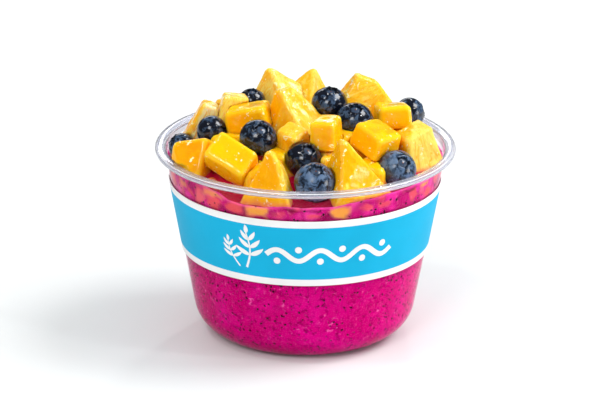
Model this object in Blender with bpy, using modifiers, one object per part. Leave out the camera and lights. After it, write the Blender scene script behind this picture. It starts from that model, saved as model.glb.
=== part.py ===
"""A pitaya bowl: a clear plastic bowl with a rolled rim and a paper sleeve, filled with pitaya puree
and heaped with mango blocks, pineapple chunks and blueberries.

Lengths below are in millimetres and angles in degrees. The origin is on the bowl's axis, in the
plane it stands on. +X is to the right of the front view, +Y away from it, +Z up.
"""

import math
import random

import bmesh
import bpy
from mathutils import Matrix, Vector

MM = 0.001
STEPS = 48  # facets round the bowl's axis

# The bowl, as the middle of its sheet.
SHEET = 0.65
BASE_RADIUS = 28.8
HEEL_RADIUS = 14.3  # the rounding between base and wall
WALL_SLOPE = 0.183  # growth of the radius for each millimetre of height
HEEL_STEPS = 5
RIM_CENTRE_HEIGHT = 74.6
RIM_OUTER_RADIUS = 58.5
RIM_WIDTH = 4.4
RIM_DEPTH = 2.8
RIM_CURL = 285.0  # how far the rim's edge is rolled round
RIM_STEPS = 8

# The paper sleeve round the wall.
SLEEVE_LOW = 34.8
SLEEVE_HIGH = 62.7
PAPER = 0.4
GAP = 0.3  # left between pieces that touch
FRUIT_GAP = 0.35  # the same between fruit
ROOM_TOP = 125.0  # how high the space for the fruit goes

# The puree.
LEVEL = 70.6  # at the wall, on average
LEVEL_BACK = 1.2  # higher at the back, lower at the front
LEVEL_LEFT = 1.6  # higher at the left, lower at the right
PUREE_DOME = 6.0  # the middle above the wall's level
LUMPS = ((5, 0.7, 0.6), (9, 0.5, 2.1), (14, 0.3, 4.0))  # waves round the bowl: count, height, start
LUMP_FADE = 0.75  # of a half wave between the middle and the wall
DOME_RINGS = 4
TOP_BAND = 1.0  # what lies less than this below the level is the puree's top

# Blueberries: place of the centre, radius, half thickness along the crown's axis, and the way the
# crown looks: its angle from upright, and the compass direction it leans to.
BLUEBERRIES = (
    ((-48, -2, 75.2), 5.3, 5.0, 50, 180),
    ((-36.3, -6, 83), 6.0, 5.7, 60, 60),
    ((-18.2, -20, 85.1), 7.3, 6.6, 35, -40),
    ((-21, 12, 89), 5.4, 5.1, 15, -90),
    ((9.2, 3, 91.6), 7.1, 6.1, 30, 150),
    ((18.9, -7, 88.1), 7.3, 6.4, 10, -90),
    ((40.8, 20, 82), 6.1, 5.8, 80, 60),
    ((-0.5, -28.5, 79.1), 7.2, 6.5, 25, -20),
    ((3.5, -44, 75.4), 7.9, 7.5, 25, -90),
    ((35.3, -28, 75.5), 7.4, 6.8, 45, -20),
    ((-27, 33, 77.5), 6.4, 5.8, 45, 130),
    ((8, 46, 76.5), 6.6, 6.0, 40, 80),
    ((33, 33, 75.5), 6.0, 5.5, 30, 10),
)
BERRY_SIDES = 15
BERRY_RINGS = (12, 21, 32, 56, 83, 111, 142)  # degrees from the crown
CROWN_LOBES = 5
CROWN_HEIGHT = 0.06  # of the radius, between the lobes
CROWN_LOBE_HEIGHT = 0.04  # of the radius, what a lobe rises above and falls below that
CROWN_DIP = 0.16
ROOM = 0.6  # what a blueberry's cutter is larger by
CUTTER_SIDES = 14
CUTTER_RINGS = 9

# Mango blocks: place of the centre, (length, width, height), how far the top rises along its length,
# and turn: heading, then a lean by an angle towards a compass direction.
MANGOES = (
    ((-43.5, -23, 78.5), (14, 11, 15), 3.8, (-25, 25, 60)),
    ((-28.4, -31.8, 80.3), (18.3, 12.8, 11.5), 0, (-34, 49, -90)),
    ((-21.8, -4, 88), (17, 12.5, 9), 0, (-14, 12, 170)),
    ((8, -22, 88), (9.8, 12, 10.8), 0, (-16, 3, 180)),
    ((27, -20, 84.7), (15, 13.5, 9.8), 0, (-42, 18, -32)),
    ((33.7, 2, 87), (13, 12.5, 8.5), 0, (10, 8, 100)),
    ((-33, -31, 68.5), (11, 8, 6), 0, (-30, 10, 0)),
    ((15, -13, 80), (15, 14, 12), 0, (20, 5, 0)),
    ((-28, -15, 77.5), (14, 15, 12), 0, (35, 5, 90)),
    ((-9, -24, 75), (14, 13, 12), 0, (10, 10, 0)),
    ((-14.5, 39, 78), (15, 13, 11), 0, (30, 22, 100)),
    ((21.5, 38, 77.5), (15, 13, 11), 0, (-20, 22, 80)),
    ((-37, 20, 79), (11, 10, 9), 0, (50, 20, 150)),
    ((-19, -33, 73.5), (12, 11, 9), 0, (25, 12, 200)),
    ((32.5, -12, 74), (11, 11, 9), 0, (15, 10, 90)),
    ((26, -29, 73.5), (13, 11, 10), 0, (-30, 8, -60)),
    ((-41.5, 9, 75.5), (9, 9, 8), 0, (20, 15, 180)),
    ((-4, -1, 78.5), (20, 18, 11), 0, (15, 4, 30)),
    ((9, 21, 79.5), (17, 17, 12), 0, (40, 4, 120)),
    ((33, 1, 77), (15, 15, 11), 0, (-15, 4, 0)),
    ((-27, 5, 76.5), (15, 15, 9), 0, (5, 5, 180)),
)
MANGOES_ON_TOP = 6  # the first ones, whose rounded edges show
MANGO_ROUND = 1.3
MANGO_TAPER = 0.93  # a block's top is this much of its base

# Pineapple chunks: place of the centre, base (length, width), tip (length, width), height, shift of
# the tip, and turn as for the mango.
PINEAPPLES = (
    ((-13.5, -42, 74.5), (25, 12), (3, 5), 24, (0.5, 0), (-20, 12, 90)),
    ((17, -38.5, 77.5), (27, 29), (4, 2), 27, (0, -2), (-58, 6, 180)),
    ((43.2, -12, 76.8), (17, 12), (13, 9), 20.5, (0, 0), (35, 15, -140)),
    ((-2, -3, 91), (22, 20), (4, 8), 16, (-5, -3.5), (-42, 5, 120)),
    ((-7.4, 21, 92.7), (24, 20), (2, 2), 14, (-5.4, -4.1), (-37, 2, -136)),
    ((-2.6, 22.5, 90.8), (23, 21), (2, 2), 15.5, (3.6, 4.5), (-30, 2, 57)),
    ((30.4, 14, 88.2), (34, 13), (8.5, 4), 14, (-10.4, 0), (9, 24, 10)),
    ((-28, 4, 87), (12, 13), (9.5, 8), 14, (0, 0), (6, 10, 43)),
    ((-39.8, 4, 82), (13.5, 8), (6, 6.5), 18, (0.5, 0), (3, 17, 0)),
    ((-5, -20, 84), (12, 10), (9, 8), 10, (0, 0), (-40, 20, -90)),
    ((9, -27, 75), (13, 13), (10, 10), 12, (0, 0), (30, 0, 0)),
    ((3.5, 36.5, 79), (17, 15), (7, 9), 14, (0, 0), (10, 15, 90)),
    ((38, 19, 77.5), (16, 13), (8, 9), 12, (0, 0), (60, 10, 30)),
    ((-29.5, 24, 79.5), (14, 12), (6, 9), 13, (0, 0), (-60, 10, 120)),
    ((-11, 20, 79.5), (22, 20), (18, 17), 12, (0, 0), (-37, 3, 200)),
    ((18, 12, 78), (16, 15), (13, 12), 10, (0, 0), (9, 3, 90)),
)
PINEAPPLES_ON_TOP = 10
CHUNK_ROUND = 0.7
ROUND = 0.5  # an arc between the two faces of an edge
UNEVEN = 0.35  # how far a block's corners are off their places
FLAT = math.radians(20)  # a block's face may be bent by this much
SHARP = math.radians(35)  # a sharper edge isn't shaded smooth
SEAM = 0.00001  # the ends of a turned shape join within this, in metres

COLOURS = {
    # colour, roughness, how much light passes through
    "clear_plastic": ((0.90, 0.92, 0.94), 0.08, 0.9),
    "sleeve_paper": ((0.01, 0.45, 0.80), 0.5, 0.0),
    "puree": ((0.65, 0.01, 0.22), 0.35, 0.0),
    "blueberry": ((0.018, 0.030, 0.065), 0.35, 0.0),
    "mango": ((0.95, 0.42, 0.01), 0.3, 0.0),
    "pineapple": ((0.92, 0.60, 0.07), 0.35, 0.0),
}


def clear_scene():
    for obj in list(bpy.data.objects):
        bpy.data.objects.remove(obj)


def new_collection(name):
    collection = bpy.data.collections.new(name)
    bpy.context.scene.collection.children.link(collection)
    return collection


def material(name):
    colour, roughness, clear = COLOURS[name]
    made = bpy.data.materials.new(name)
    made.use_nodes = True
    shader = made.node_tree.nodes["Principled BSDF"]
    shader.inputs["Base Color"].default_value = (*colour, 1.0)
    shader.inputs["Roughness"].default_value = roughness
    shader.inputs["Metallic"].default_value = 0.0
    shader.inputs["Transmission Weight"].default_value = clear
    made.diffuse_color = (*colour, 1.0)
    return made


def add_object(name, mesh, collection, finish=None):
    obj = bpy.data.objects.new(name, mesh)
    collection.objects.link(obj)
    if finish is not None:
        mesh.materials.append(finish)
        mesh.shade_smooth()
        mesh.set_sharp_from_angle(angle=SHARP)
    return obj


def mesh_from(name, bm):
    mesh = bpy.data.meshes.new(name)
    bm.to_mesh(mesh)
    bm.free()
    return mesh


def turned(name, profile, collection, finish, closed=False):
    """A turned shape from its profile, a list of (radius, height) that runs down the outer side."""
    bm = bmesh.new()
    points = [bm.verts.new((radius * MM, 0.0, height * MM)) for radius, height in profile]
    for upper, lower in zip(points, points[1:] + points[:1] if closed else points[1:]):
        bm.edges.new((upper, lower))
    obj = add_object(name, mesh_from(name, bm), collection, finish)
    screw = obj.modifiers.new("turn", "SCREW")
    screw.axis = "Z"
    screw.angle = math.tau
    screw.steps = STEPS
    screw.render_steps = STEPS
    screw.use_merge_vertices = True
    screw.merge_threshold = SEAM
    return obj


def evaluated_mesh(obj):
    """The object's shape with its modifiers applied."""
    graph = bpy.context.evaluated_depsgraph_get()
    return bpy.data.meshes.new_from_object(obj.evaluated_get(graph))


def heel_arc(offset):
    """The rounding from wall to base, as (radius, height) for a sheet moved out by offset."""
    wall_angle = math.atan(WALL_SLOPE)
    quarter = math.pi / 2 - wall_angle
    points = []
    for step in range(HEEL_STEPS + 1):
        angle = -wall_angle - quarter * step / HEEL_STEPS
        reach = HEEL_RADIUS + offset
        radius = BASE_RADIUS + reach * math.cos(angle)
        points.append((radius, HEEL_RADIUS + SHEET / 2 + reach * math.sin(angle)))
    return points


def wall_radius(height, offset=0.0):
    """The radius of the middle of the wall's sheet, or of a surface set off from it."""
    start_radius, start_height = heel_arc(0.0)[0]
    return start_radius + WALL_SLOPE * (height - start_height) + offset * math.hypot(1.0, WALL_SLOPE)


def rim_profile():
    """The rolled rim, from its free edge over the top to where it meets the wall."""
    centre = RIM_OUTER_RADIUS - RIM_WIDTH / 2
    points = []
    for step in range(RIM_STEPS + 1):
        angle = math.radians(180 - RIM_CURL * (1 - step / RIM_STEPS))
        across = (RIM_WIDTH - SHEET) / 2 * math.cos(angle)
        up = (RIM_DEPTH - SHEET) / 2 * math.sin(angle)
        points.append((centre + across, RIM_CENTRE_HEIGHT + up))
    return points


def make_bowl(collection):
    profile = rim_profile() + heel_arc(0.0) + [(0.0, SHEET / 2)]
    bowl = turned("bowl", profile, collection, material("clear_plastic"))
    solidify = bowl.modifiers.new("sheet", "SOLIDIFY")
    solidify.thickness = SHEET * MM
    solidify.offset = 0.0
    solidify.use_even_offset = True
    return bowl


def make_sleeve(collection):
    inner = SHEET / 2 + GAP
    profile = [
        (wall_radius(SLEEVE_HIGH, inner), SLEEVE_HIGH),
        (wall_radius(SLEEVE_HIGH, inner + PAPER), SLEEVE_HIGH),
        (wall_radius(SLEEVE_LOW, inner + PAPER), SLEEVE_LOW),
        (wall_radius(SLEEVE_LOW, inner), SLEEVE_LOW),
    ]
    return turned("sleeve", profile, collection, material("sleeve_paper"), closed=True)


def puree_level(x, y, radius):
    """The height of the puree's surface: a low dome, uneven round the bowl."""
    around = math.atan2(y, x)
    out = math.hypot(x, y) / radius
    level = LEVEL + LEVEL_BACK * math.sin(around) * out - LEVEL_LEFT * math.cos(around) * out
    level += PUREE_DOME * (1 - out * out)
    for count, height, start in LUMPS:
        fade = math.sin(math.pi * min(1.0, out) * LUMP_FADE)
        level += height * math.sin(count * around + start) * fade
    return level


def make_puree(collection):
    inset = -(SHEET / 2 + GAP)
    edge = wall_radius(LEVEL, inset)
    top = [(edge * ring / DOME_RINGS, LEVEL) for ring in range(DOME_RINGS + 1)]
    side = heel_arc(inset)
    raw = turned("raw_puree", top + side + [(0.0, SHEET + GAP)], collection, None)
    mesh = evaluated_mesh(raw)
    bpy.data.objects.remove(raw)
    for vertex in mesh.vertices:
        x, y, z = vertex.co / MM
        if z > LEVEL - TOP_BAND:
            height = puree_level(x, y, edge)
            spread = wall_radius(height, inset) / edge
            vertex.co = Vector((x * spread, y * spread, height)) * MM
    return add_object("pitaya_puree", mesh, collection, material("puree"))


def placed(at, heading, lean, towards):
    """The matrix of a piece that is turned to a heading and then leaned towards a direction."""
    side = Vector((-math.sin(math.radians(towards)), math.cos(math.radians(towards)), 0.0))
    turn = Matrix.Rotation(math.radians(lean), 4, side) @ Matrix.Rotation(math.radians(heading), 4, "Z")
    return Matrix.Translation(Vector(at) * MM) @ turn


def blueberry_mesh(radius, half):
    bm = bmesh.new()
    rings = len(BERRY_RINGS) + 1
    bmesh.ops.create_uvsphere(bm, u_segments=BERRY_SIDES, v_segments=rings, radius=1.0)
    for vertex in bm.verts:
        polar = math.acos(max(-1.0, min(1.0, vertex.co.z)))
        around = math.atan2(vertex.co.y, vertex.co.x)
        ring = round(polar / math.pi * rings)
        lift = 0.0
        if ring == 0:
            polar = 0.0
            lift = -CROWN_DIP
        elif ring < rings:
            polar = math.radians(BERRY_RINGS[ring - 1])
        if ring == 1:
            lift = -CROWN_DIP
        if ring == 2:
            lift = CROWN_HEIGHT + CROWN_LOBE_HEIGHT * math.cos(CROWN_LOBES * around)
        across = radius * math.sin(polar)
        vertex.co = Vector((across * math.cos(around), across * math.sin(around), half * math.cos(polar)))
        vertex.co.z += lift * radius
    bmesh.ops.scale(bm, verts=bm.verts, vec=(MM, MM, MM))
    return bm


def block(base, tip, height, shift, rise, seed, more):
    """A block whose top is another size than its base, moved aside by shift, and rises along its
    length. Its corners are a little uneven, and its faces are moved out by more."""
    chance = random.Random(seed)
    bm = bmesh.new()
    bmesh.ops.create_cube(bm, size=1.0)
    for vertex in bm.verts:
        top = vertex.co.z > 0
        length, width = tip if top else base
        aside = shift if top else (0.0, 0.0)
        lift = rise * (vertex.co.x - 0.5) if top else 0.0
        x = vertex.co.x * length + aside[0] + chance.uniform(-UNEVEN, UNEVEN)
        y = vertex.co.y * width + aside[1] + chance.uniform(-UNEVEN, UNEVEN)
        z = vertex.co.z * height + lift + chance.uniform(-UNEVEN, UNEVEN)
        vertex.co = Vector((x, y, z))
    bm.normal_update()
    moves = []
    for vertex in bm.verts:
        normals = Matrix([face.normal for face in vertex.link_faces])
        moves.append(normals.inverted() @ Vector((more, more, more)))
    for vertex, move in zip(bm.verts, moves):
        vertex.co = (vertex.co + move) * MM
    bmesh.ops.triangulate(bm, faces=bm.faces[:], quad_method="FIXED")
    return bm


def rounded(bm, radius, segments):
    """The block with its edges rounded, once those that only cross a face are gone."""
    crossing = [edge for edge in bm.edges if edge.calc_face_angle() <= FLAT]
    bmesh.ops.dissolve_edges(bm, edges=crossing)
    bmesh.ops.bevel(
        bm, geom=bm.edges[:], offset=radius * MM, segments=segments, affect="EDGES", profile=ROUND
    )
    bmesh.ops.triangulate(bm, faces=bm.faces[:])
    return bm


def fruit_pieces():
    """Every piece on the puree: (name, material, finished shape, cutting shape, place). First come
    the blueberries, which keep their whole shape, then the other pieces on top, then those below."""
    pieces = []
    below = []
    for number, (at, radius, half, lean, towards) in enumerate(BLUEBERRIES, 1):
        whole = blueberry_mesh(radius, half)
        cutter = bmesh.new()
        bmesh.ops.create_uvsphere(
            cutter, u_segments=CUTTER_SIDES, v_segments=CUTTER_RINGS, radius=1.0
        )
        size = ((radius + ROOM) * MM, (radius + ROOM) * MM, (half + ROOM) * MM)
        bmesh.ops.scale(cutter, verts=cutter.verts, vec=size)
        place = placed(at, 0, lean, towards)
        pieces.append((f"blueberry_{number:02d}", "blueberry", whole, cutter, place))
    for number, (at, size, rise, turn) in enumerate(MANGOES, 1):
        length, width, height = size
        top = (length * MANGO_TAPER, width * MANGO_TAPER)
        shape = ((length, width), top, height, (0, 0), rise, number)
        segments = 2 if number <= MANGOES_ON_TOP else 1
        whole = rounded(block(*shape, 0.0), MANGO_ROUND, segments)
        cutter = block(*shape, FRUIT_GAP)
        group = pieces if number <= MANGOES_ON_TOP else below
        group.append((f"mango_{number:02d}", "mango", whole, cutter, placed(at, *turn)))
    for number, (at, base, tip, height, shift, turn) in enumerate(PINEAPPLES, 1):
        shape = (base, tip, height, shift, 0.0, 100 + number)
        whole = rounded(block(*shape, 0.0), CHUNK_ROUND, 1)
        cutter = block(*shape, FRUIT_GAP)
        group = pieces if number <= PINEAPPLES_ON_TOP else below
        group.append((f"pineapple_{number:02d}", "pineapple", whole, cutter, placed(at, *turn)))
    return pieces + below


def box_of(obj):
    corners = [obj.matrix_world @ Vector(corner) for corner in obj.bound_box]
    low = Vector([min(corner[axis] for corner in corners) for axis in range(3)])
    high = Vector([max(corner[axis] for corner in corners) for axis in range(3)])
    return low, high


def near(first, second):
    low_a, high_a = box_of(first)
    low_b, high_b = box_of(second)
    return all(low_a[i] < high_b[i] and low_b[i] < high_a[i] for i in range(3))


def cut(obj, cutter):
    boolean = obj.modifiers.new(cutter.name, "BOOLEAN")
    boolean.operation = "DIFFERENCE"
    boolean.object = cutter
    boolean.solver = "EXACT"


def make_room(cutters):
    """The space inside the bowl, from its floor to well above the rim, where a piece may be."""
    inset = -(SHEET / 2 + GAP)
    rim_centre = RIM_OUTER_RADIUS - RIM_WIDTH / 2
    profile = [(0.0, ROOM_TOP), (rim_centre, ROOM_TOP)]
    for step in range(RIM_STEPS):
        angle = math.pi / 2 * (1 + step / (RIM_STEPS - 1))
        across = (RIM_WIDTH / 2 + GAP) * math.cos(angle)
        up = (RIM_DEPTH / 2 + GAP) * math.sin(angle)
        profile.append((rim_centre + across, RIM_CENTRE_HEIGHT + up))
    profile += heel_arc(inset) + [(0.0, SHEET + GAP)]
    room = turned("room_in_bowl", profile, cutters, None)
    room.hide_render = True
    room.display_type = "WIRE"
    return room


def make_fruit(collection, cutters, puree, room):
    finishes = {name: material(name) for name in ("blueberry", "mango", "pineapple")}
    before = []
    for name, finish, whole, cutter, matrix in fruit_pieces():
        obj = add_object(name, mesh_from(name, whole), collection, finishes[finish])
        obj.matrix_world = matrix
        tool = add_object(f"cut_{name}", mesh_from(f"cut_{name}", cutter), cutters)
        tool.matrix_world = matrix
        tool.hide_render = True
        tool.display_type = "WIRE"
        for other in before:
            if finish != "blueberry" and near(obj, other):
                cut(obj, other)
        low, high = box_of(obj)
        reach = max(Vector((x, y)).length for x in (low.x, high.x) for y in (low.y, high.y))
        if reach > wall_radius(LEVEL) * MM and finish != "blueberry":
            inside = obj.modifiers.new("inside_bowl", "BOOLEAN")
            inside.operation = "INTERSECT"
            inside.object = room
            inside.solver = "EXACT"
        before.append(tool)
        if near(puree, tool):
            cut(puree, tool)


def main():
    clear_scene()
    parts = new_collection("pitaya_bowl")
    cutters = new_collection("cutters")
    make_bowl(parts)
    make_sleeve(parts)
    puree = make_puree(parts)
    room = make_room(cutters)
    bpy.context.view_layer.update()
    make_fruit(parts, cutters, puree, room)


main()
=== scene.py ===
"""The looks of a pitaya bowl: a clear bowl in a paper sleeve, filled with pitaya puree and heaped
with mango, pineapple and blueberries. It is laid out as a Blender add-on and run as a script.

Tables below are in millimetres and degrees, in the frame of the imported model: +X to the right of
the front view, +Y away from it, +Z up. Properties and meshes are in metres.
"""

import math
import random

import bmesh
import bpy
import numpy as np
from mathutils import Matrix, Vector, noise


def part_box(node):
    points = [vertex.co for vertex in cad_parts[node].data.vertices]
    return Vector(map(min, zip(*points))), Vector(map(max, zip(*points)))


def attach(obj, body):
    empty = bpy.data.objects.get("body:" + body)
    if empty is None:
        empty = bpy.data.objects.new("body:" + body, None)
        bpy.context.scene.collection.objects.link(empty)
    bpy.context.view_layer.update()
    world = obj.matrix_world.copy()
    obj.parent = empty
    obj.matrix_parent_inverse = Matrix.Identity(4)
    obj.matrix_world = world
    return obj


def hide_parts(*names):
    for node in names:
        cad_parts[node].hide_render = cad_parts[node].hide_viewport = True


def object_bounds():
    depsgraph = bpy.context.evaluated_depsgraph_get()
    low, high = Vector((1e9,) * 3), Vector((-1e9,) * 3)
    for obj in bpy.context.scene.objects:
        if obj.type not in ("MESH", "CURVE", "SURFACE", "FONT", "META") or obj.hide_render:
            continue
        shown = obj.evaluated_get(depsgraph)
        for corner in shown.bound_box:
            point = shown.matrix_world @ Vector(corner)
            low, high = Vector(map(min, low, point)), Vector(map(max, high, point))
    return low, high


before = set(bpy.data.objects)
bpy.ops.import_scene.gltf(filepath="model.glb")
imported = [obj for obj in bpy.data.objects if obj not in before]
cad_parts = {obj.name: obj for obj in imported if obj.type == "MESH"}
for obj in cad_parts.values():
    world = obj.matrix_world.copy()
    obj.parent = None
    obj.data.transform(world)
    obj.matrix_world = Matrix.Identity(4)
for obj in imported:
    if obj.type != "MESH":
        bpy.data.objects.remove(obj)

bl_info = {
    "name": "Pitaya Bowl",
    "version": (1, 0, 0),
    "blender": (4, 5, 0),
    "location": "View3D > Sidebar > Pitaya Bowl",
    "description": "Dresses the packed pitaya bowl: bowl, sleeve, puree, seeds and fruit",
    "category": "Add Mesh",
}

MM = 0.001
CAD_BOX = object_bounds()
BOWL_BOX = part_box("bowl")
SLEEVE_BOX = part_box("sleeve")
BODY = "root"
ROUND = 160  # steps round the bowl's axis
RIM_STEPS, WALL_STEPS, HEEL_STEPS = 72, 30, 20  # steps along the bowl's section

# The bowl's section, as the middle of its sheet.
HALF_SHEET = 0.325
BASE_RADIUS = 28.8
BASE_MIDWAY = 14.0  # a ring of points in the flat base
RIM_INSET, BASE_INSET = 0.003, 0.002
HEEL_RADIUS = 14.3
WALL_FOOT = (42.866, 12.05)  # where the heel's rounding meets the wall
WALL_SLOPE = 0.1848
SLOPE_STRETCH = 1.017  # length of the wall for each mm of height
RIM_HEIGHT = 74.6
RIM_WIDTH = 4.4
RIM_DEPTH = 2.8
RIM_CURL = 285.0
# Painted highlight lines and painted shade lines round the rim: from and to which direction of its
# section, and which finish.
RIM_LINES = ((0, 13, 3), (36, 46, 2), (108, 122, 3), (172, 186, 2), (338, 350, 2))
RIM_ROOM = (56.3, 2.2)  # middle and half width of the ring that the fruit leaves to the rim
WALL_GAP = 0.05  # what the fruit leaves free at the wall
BOX_GAP = 0.02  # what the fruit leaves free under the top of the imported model
SHARP_FROM = math.radians(50)  # the bowl and the sleeve look creased where they turn by more
SLEEVE_INSIDE = HALF_SHEET + 0.3  # how far the sleeve stands out from the middle of the wall
SLEEVE_OUTSIDE = SLEEVE_INSIDE + 0.4
PRINT_MIDDLE = 48.0  # height of the middle of the print
PRINT_LIFT = 0.03
CREST_PASSES = 8  # rounds of evening out that show where a mesh has its edges
CREST_REACH = 0.35  # how far the sharpest edges stand out after them

# The puree's level at the wall: compass direction and height.
LEVELS = (
    (-180, 71.2), (-160, 71.2), (-148, 71.2), (-138, 71), (-130, 70), (-123, 67.4), (-116, 66.7),
    (-109, 66.7), (-103, 67.4), (-98, 68.1), (-94, 67.9), (-90, 67.5), (-84, 67.6), (-79, 67.6),
    (-70, 68.7), (-62, 69.5), (-53, 70.3), (-46, 70.2), (-38, 70.4), (-30, 70), (0, 70.4),
    (45, 70.8), (90, 71.2), (135, 70.5), (160, 70.3), (180, 71.2),
)
PUREE_MIDDLE = 75.0  # height of the puree's top in the middle
PUREE_CLIMB = 0.7  # how far the puree climbs up the wall above its level
PUREE_BITE = 0.08  # how far the puree reaches into the wall, so that no air shows between
PUREE_STEPS, TOP_RINGS, SIDE_RINGS = 288, 64, 90  # steps round, out over the top and down
BITS_FROM = 58.0  # above this height bits of fruit show through the wall
TOP_FROM = 60.0  # the puree's top lies above this height
STAIN_HEIGHT = 2.2  # how far up from the puree fruit is coloured by it
STAIN_COLOUR = (0.74, 0.035, 0.11)
JUICE_EDGE = 0.9  # how far from the wall the juice on the top begins

# Blueberries: centre, radius, half thickness, and the way the crown looks: angle from upright and
# compass direction.
BLUEBERRIES = (
    ((-48, -2, 75.2), 5.3, 5.0, 50, 180),
    ((-36.3, -6, 83), 6.0, 5.7, 80, -40),
    ((-18.2, -20, 85.1), 7.3, 6.6, 39, -69),
    ((-21, 12, 89), 5.4, 5.1, 15, -90),
    ((9.2, 3, 91.6), 7.1, 6.1, 12, -60),
    ((18.9, -7, 88.1), 7.3, 6.4, 24, -82),
    ((40.8, 20, 82), 6.1, 5.8, 75, 0),
    ((-0.5, -28.5, 79.1), 7.2, 6.5, 33, -60),
    ((3.5, -44, 75.4), 7.9, 7.5, 28, -80),
    ((35.3, -28, 75.5), 7.4, 6.8, 48, -62),
    ((-27, 33, 77.5), 6.4, 5.8, 45, 130),
    ((8, 46, 76.5), 6.6, 6.0, 40, 80),
    ((33, 33, 75.5), 6.0, 5.5, 30, 10),
)
WAXY = {2: -0.1, 7: 0.2, 8: -0.3, 9: 0.45, 10: 0.55}  # berries with more or less bloom
MANGO_COUNT = 21
# Tones: mango from yellow to orange, pineapple from cream to deep yellow. The rest come by rule.
MANGO_TONES = {1: 1.2, 2: 0.12, 3: 0.5, 4: 0.55, 5: 0.5, 6: -0.3, 7: 0.2}
PINEAPPLE_TONES = {
    1: 0.5, 2: 0.5, 3: 0.42, 4: 0.46, 5: 0.2, 6: 0.35, 7: 0.42, 8: 0.2, 9: -0.1, 10: 0.4,
}

# Fruit seen through the wall: place along the front (compass degrees), height of its middle,
# half width and half height in mm, and how strongly it shows.
SHOWN_FRUIT = (
    (-110, 65.5, 4.4, 2.4, 1), (-75, 65.7, 4.1, 2.5, 1), (-132, 69, 4.5, 1.4, 0.6),
    (-32, 69.1, 2.6, 1, 0.9), (-152, 68.6, 2.6, 1.4, 0.5), (60, 66, 5, 2.6, 0.8),
    (100, 68, 6, 2.2, 0.9), (140, 66.5, 4.5, 2.8, 0.8), (15, 67, 4, 2, 0.6),
)
# Redder bits of fruit seen through the wall, in the same way.
SHOWN_SALMON = (
    (-131, 65.2, 3.4, 2.3, 0.9), (-121, 65.3, 3, 1.8, 0.9), (-86.2, 64.7, 2.8, 1.2, 0.8),
    (-63.5, 66.9, 2.6, 1.3, 0.8), (-54.5, 66.7, 2.8, 1.4, 0.7), (-27.6, 65.3, 3.2, 2.4, 0.95),
    (-101, 64.6, 2.6, 1.4, 0.5), (30, 66, 4, 2.2, 0.8), (80, 65, 3, 2, 0.8), (120, 66, 4, 2, 0.8),
    (165, 66, 3.6, 2.4, 0.7),
)
# Painted shade: dark places seen through the wall, in the same way.
SHOWN_SHADE = (
    (-86, 67.4, 5, 0.8, 0.55), (-41, 69.8, 4, 0.8, 0.7), (-116.5, 65.2, 1.6, 2.2, 0.6),
    (-103, 65.6, 1.6, 2, 0.4), (-81, 64.4, 2.4, 1.4, 0.5), (-70, 64, 1.6, 1.2, 0.4),
    (-127, 64.2, 2.4, 1.2, 0.5), (-48, 67.6, 2, 1.2, 0.35), (80, 67, 4, 1.4, 0.5),
    (170, 68, 4, 1.4, 0.5), (-96.5, 67.4, 3.6, 1, 0.8),
)

# Pineapple chunks: centre, height from base to tip, and turn: heading, lean and its direction.
PINEAPPLES = (
    ((-13.5, -42, 74.5), 24, (-20, 12, 90)),
    ((17, -38.5, 77.5), 27, (-58, 6, 180)),
    ((43.2, -12, 76.8), 20.5, (35, 15, -140)),
    ((-2, -3, 91), 16, (-42, 5, 120)),
    ((-7.4, 21, 92.7), 14, (-37, 2, -136)),
    ((-2.6, 22.5, 90.8), 15.5, (-30, 2, 57)),
    ((30.4, 14, 88.2), 14, (9, 24, 10)),
    ((-28, 4, 87), 14, (6, 10, 43)),
    ((-39.8, 4, 82), 18, (3, 17, 0)),
    ((-5, -20, 84), 10, (-40, 20, -90)),
    ((9, -27, 75), 12, (30, 0, 0)),
    ((3.5, 36.5, 79), 14, (10, 15, 90)),
    ((38, 19, 77.5), 12, (60, 10, 30)),
    ((-29.5, 24, 79.5), 13, (-60, 10, 120)),
    ((-11, 20, 79.5), 12, (-37, 3, 200)),
    ((18, 12, 78), 10, (9, 3, 90)),
)

# Chunks whose front has a ridge: its line as (across, up) in mm in the front view, how far it
# stands out, how wide it is, and the tone to its left and to its right, which paints one side as
# shaded and the other as lit.
RIDGES = {
    1: (((-13.4, 27.4), (-8.6, 18.0), (-11.3, 11.7), (-13.7, 4.7)), 0.9, 5.0, 0.8, 0.45),
    2: (((13.2, 32.0), (19.5, 22.7), (15.1, 13.5), (12.9, 6.6)), 1.1, 7.0, 1.10, 0.58),
    3: (((42.0, 38.7), (38.7, 28.1), (42.2, 19.5)), 0.6, 6.0, 0.75, 0.22),
    4: (((-7.0, 50.6), (-9.0, 45.7), (-11.7, 36.0)), 0.5, 5.0, 0.80, 0.50),
    9: (((-34.0, 47.5), (-38.9, 45.7), (-44.1, 34.2)), 0.3, 3.0, 1.1, -0.6),
}
VIEW_HIGH = math.radians(19.66)  # how far above level the front view looks down
VIEW_AXIS = 43.5  # height on the axis that the front view looks at
VIEW_LENS = 307.07
VIEW_ROLL = 0.0061  # how far it leans, as a slope
# These are in metres: the camera's distance and how far it then moves to the right and up, the
# point that the lights turn to, half the floor's side, and how far it lies under the base.
VIEW_DISTANCE = 2.0
VIEW_SHIFT = (-0.001981, 0.008597)
LIGHT_AIM = Vector((0.0, 0.0, 0.06))
FLOOR_HALF = 6.0
FLOOR_DROP = 0.00005


# ---------------------------------------------------------------- settings


def length_setting(name, description, default):
    return bpy.props.FloatProperty(
        name=name, description=description, default=default, unit="LENGTH"
    )


def colour_setting(name, description, default):
    return bpy.props.FloatVectorProperty(
        name=name, description=description, default=default, subtype="COLOR", min=0.0, max=1.0
    )


def number_setting(name, description, default):
    return bpy.props.FloatProperty(name=name, description=description, default=default)


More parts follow.
